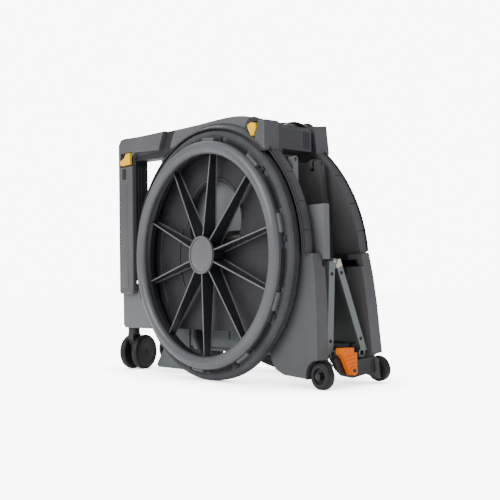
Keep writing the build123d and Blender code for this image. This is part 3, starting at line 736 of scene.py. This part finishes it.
def pedal_ribs(place):
    """Grip ribs along the pedal's head, and the steps down its stem."""
    form = bmesh.new()
    tilt = Matrix.Translation(PEDAL_HEAD) @ Matrix.Rotation(-LEAN, 4, "Y")
    for z in (-4.4, 0, 4.4):
        rib = block(*mm((-15, -366.7, z - 0.9), (15, -365.4, z + 0.9)), 0.4 * MM, 2)
        rib.transform(tilt)
        join(form, rib)
    for z, low, high in ((76, 112, 147), (67, 113, 143), (58, 114, 139)):
        join(form, block(*mm((low, -361.6, z), (high, -359.4, z + 4)), 0.6 * MM, 2))
    make("pedal_ribs", form, FINISH["orange"], "pedal", place)


STRAP_RISE = 11.5 * MM
STRAP_RIB_GAP = 4.5 * MM


def strap_grip():
    """Moulded ribs across the top of the carrying strap."""
    low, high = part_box("carry_strap")
    half = (high.x - low.x) / 2
    middle = (high.x + low.x) / 2
    bend = (half ** 2 + STRAP_RISE ** 2) / (2 * STRAP_RISE)
    form = bmesh.new()
    for i in range(-3, 4):
        x = i * STRAP_RIB_GAP
        z = high.z - bend + math.sqrt(bend ** 2 - x ** 2) - 0.4 * MM
        corner = (middle + x - 1 * MM, low.y + 2 * MM, z)
        join(form, block(corner, (middle + x + 1 * MM, high.y - 2 * MM, z + 1 * MM), 0.3 * MM, 2))
    make("strap_ribs", form, FINISH["strap_black"], "frame_left", Matrix.Identity(4))


# ---- stowed sling -------------------------------------------------------------------------------
SLING_THICK = 1.1 * MM
SLING_PITCH = 2.4 * MM
SLING_CORE = 4.0 * MM
SLING_OUT = 17.6 * MM
SLING_MARGIN = 2 * MM
SLING_STEPS = 260
SLING_ROWS = 22
BAND_R = 18.3 * MM
BAND_SHARE = 0.22


def sling():
    """Back sling rolled up tight: one sheet in a spiral, with two webbing bands around it."""
    low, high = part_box("back_sling")
    centre = (low + high) / 2
    turns = (SLING_OUT - SLING_CORE) / SLING_PITCH
    width = high.y - low.y - 2 * SLING_MARGIN
    form = bmesh.new()
    grid = []
    for i in range(SLING_STEPS + 1):
        share = i / SLING_STEPS
        angle = 2 * math.pi * turns * share + 0.6
        radius = SLING_CORE + SLING_PITCH * turns * share
        flat = Vector((radius * math.cos(angle), 0, radius * math.sin(angle)))
        out = Vector((math.cos(angle), 0, math.sin(angle)))
        line = []
        for k in range(SLING_ROWS + 1):
            across = k / SLING_ROWS
            wave = 0.28 * MM * math.sin(9 * across + 3 * share) * math.sin(2.2 * angle)
            y = -width / 2 + width * across
            for depth in (-SLING_THICK / 2, SLING_THICK / 2):
                line.append(form.verts.new(centre + Vector((0, y, 0)) + flat + out * (wave + depth)))
        grid.append(line)
    for one, two in zip(grid, grid[1:]):
        for k in range(SLING_ROWS):
            for layer in (0, 1):
                a, b = 2 * k + layer, 2 * k + 2 + layer
                form.faces.new((one[a], one[b], two[b], two[a]))
        for edge in (0, 2 * SLING_ROWS):
            form.faces.new((one[edge], one[edge + 1], two[edge + 1], two[edge]))
    for line in (grid[0], grid[-1]):
        for k in range(SLING_ROWS):
            form.faces.new((line[2 * k], line[2 * k + 1], line[2 * k + 3], line[2 * k + 2]))
    bmesh.ops.recalc_face_normals(form, faces=form.faces)
    place = Matrix.Identity(4)
    cloth = make("rolled_sling", form, FINISH["sling_fabric"], "post_left", place)
    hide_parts("back_sling")
    bands = bmesh.new()
    for y in (low.y + BAND_SHARE * width, high.y - BAND_SHARE * width):
        frames = []
        for i in range(72):
            angle = 2 * math.pi * i / 72
            out = Vector((math.cos(angle), 0, math.sin(angle)))
            frames.append((Vector((centre.x, y, centre.z)) + out * BAND_R, Vector((0, 1, 0)), out))
        join(bands, swept(rounded(20 * MM, 1.0 * MM, 0.35 * MM, 2), frames, closed=True))
    webbing = make("sling_bands", bands, FINISH["sling_fabric"], "post_left", place)


# ---- stage ----------------------------------------------------------------------------------------
# FLOOR_GLOW is the floor's glow as it lights the object, then as the camera sees it. Each light is its
# name, place, size and power.
CAMERA_FROM_HUB = Vector((-1.32416, -1.65886, -0.07679))
CAMERA_HEADING = math.radians(-40.87)
CAMERA_PITCH = math.radians(2.38)
CAMERA_ROLL = math.radians(-0.91)
CAMERA_LENS = 62.98
ROOM_LIGHT = 0.62
BACKDROP = 9.0
FLOOR_GLOW = (0.7, 7.6)
CONTACT_SHADE = 0.16
LIGHT_TARGET = Vector((0, 0, 0.3))
LIGHTS = (
    ("key", (-3.0, 0.2, 2.2), 2.2, 92),
    ("front", (-0.6, -3.0, 1.2), 2.4, 4),
    ("back", (1.4, 2.4, 2.4), 2.0, 24),
)


def camera():
    """Camera at a fixed place from the near wheel's hub, turned by heading, pitch and roll."""
    data = bpy.data.cameras.new("camera")
    data.lens = CAMERA_LENS
    data.sensor_width = 36
    view = bpy.data.objects.new("camera", data)
    forward = Vector((
        -math.sin(CAMERA_HEADING) * math.cos(CAMERA_PITCH),
        math.cos(CAMERA_HEADING) * math.cos(CAMERA_PITCH),
        math.sin(CAMERA_PITCH),
    ))
    right = forward.cross(Vector((0, 0, 1))).normalized()
    up = right.cross(forward)
    across = right * math.cos(CAMERA_ROLL) + up * math.sin(CAMERA_ROLL)
    above = up * math.cos(CAMERA_ROLL) - right * math.sin(CAMERA_ROLL)
    turn = Matrix((across, above, -forward)).transposed().to_4x4()
    view.matrix_world = Matrix.Translation(HUB + CAMERA_FROM_HUB) @ turn
    bpy.context.scene.collection.objects.link(view)
    bpy.context.scene.camera = view


def area_light(name, place, size, power):
    data = bpy.data.lights.new(name, "AREA")
    data.size = size
    data.energy = power
    lamp = bpy.data.objects.new(name, data)
    lamp.location = place
    lamp.rotation_euler = (LIGHT_TARGET - Vector(place)).to_track_quat("-Z", "Y").to_euler()
    bpy.context.scene.collection.objects.link(lamp)


def studio():
    """Pale floor and backdrop, the room's light, and three area lights."""
    world = bpy.data.worlds.new("studio")
    world.use_nodes = True
    tree = world.node_tree
    room = tree.nodes["Background"]
    room.inputs["Color"].default_value = (0.95, 0.96, 1.0, 1)
    room.inputs["Strength"].default_value = ROOM_LIGHT
    backdrop = tree.nodes.new("ShaderNodeBackground")
    backdrop.inputs["Color"].default_value = (1, 1, 1, 1)
    backdrop.inputs["Strength"].default_value = BACKDROP
    ray = tree.nodes.new("ShaderNodeLightPath")
    either = tree.nodes.new("ShaderNodeMixShader")
    tree.links.new(ray.outputs["Is Camera Ray"], either.inputs["Fac"])
    tree.links.new(room.outputs[0], either.inputs[1])
    tree.links.new(backdrop.outputs[0], either.inputs[2])
    tree.links.new(either.outputs[0], tree.nodes["World Output"].inputs["Surface"])
    bpy.context.scene.world = world
    floor = bmesh.new()
    bmesh.ops.create_circle(floor, cap_ends=True, segments=96, radius=30)
    data = bpy.data.meshes.new("floor")
    floor.to_mesh(data)
    floor.free()
    material, shader = new_material("floor_pale", (0.9, 0.9, 0.9))
    tree = material.node_tree
    tone = ramp(tree, noise(tree, 2), (0.89, 0.89, 0.89), (0.92, 0.92, 0.92))
    tree.links.new(tone, shader.inputs["Base Color"])
    shader.inputs["Roughness"].default_value = 0.7
    shader.inputs["Emission Color"].default_value = (1, 1, 1, 1)
    seen = tree.nodes.new("ShaderNodeLightPath")
    glow = tree.nodes.new("ShaderNodeMapRange")
    glow.inputs["To Min"].default_value, glow.inputs["To Max"].default_value = FLOOR_GLOW
    tree.links.new(seen.outputs["Is Camera Ray"], glow.inputs["Value"])
    # Ambient occlusion darkens the floor's glow near the chair: a painted contact shadow.
    contact = tree.nodes.new("ShaderNodeAmbientOcclusion")
    contact.inputs["Distance"].default_value = CONTACT_SHADE
    shade = tree.nodes.new("ShaderNodeMath")
    shade.operation = "MULTIPLY"
    tree.links.new(glow.outputs["Result"], shade.inputs[0])
    tree.links.new(contact.outputs["AO"], shade.inputs[1])
    tree.links.new(shade.outputs[0], shader.inputs["Emission Strength"])
    data.materials.append(material)
    plane = bpy.data.objects.new("floor", data)
    bpy.context.scene.collection.objects.link(plane)
    for light in LIGHTS:
        area_light(*light)


# ---- build ------------------------------------------------------------------------------------------
finish_cad_nodes()
for side, place in SIDES.items():
    for detail in (tyre, spoke_edges, hub_detail, handrim_detail, fender_detail, arm_detail, button_detail,
                   caster_detail, transport_detail, panel_ribs):
        detail(side, place)
leaf_screws()
pedal_ribs(RIGHT)
strap_grip()
sling()
camera()
studio()
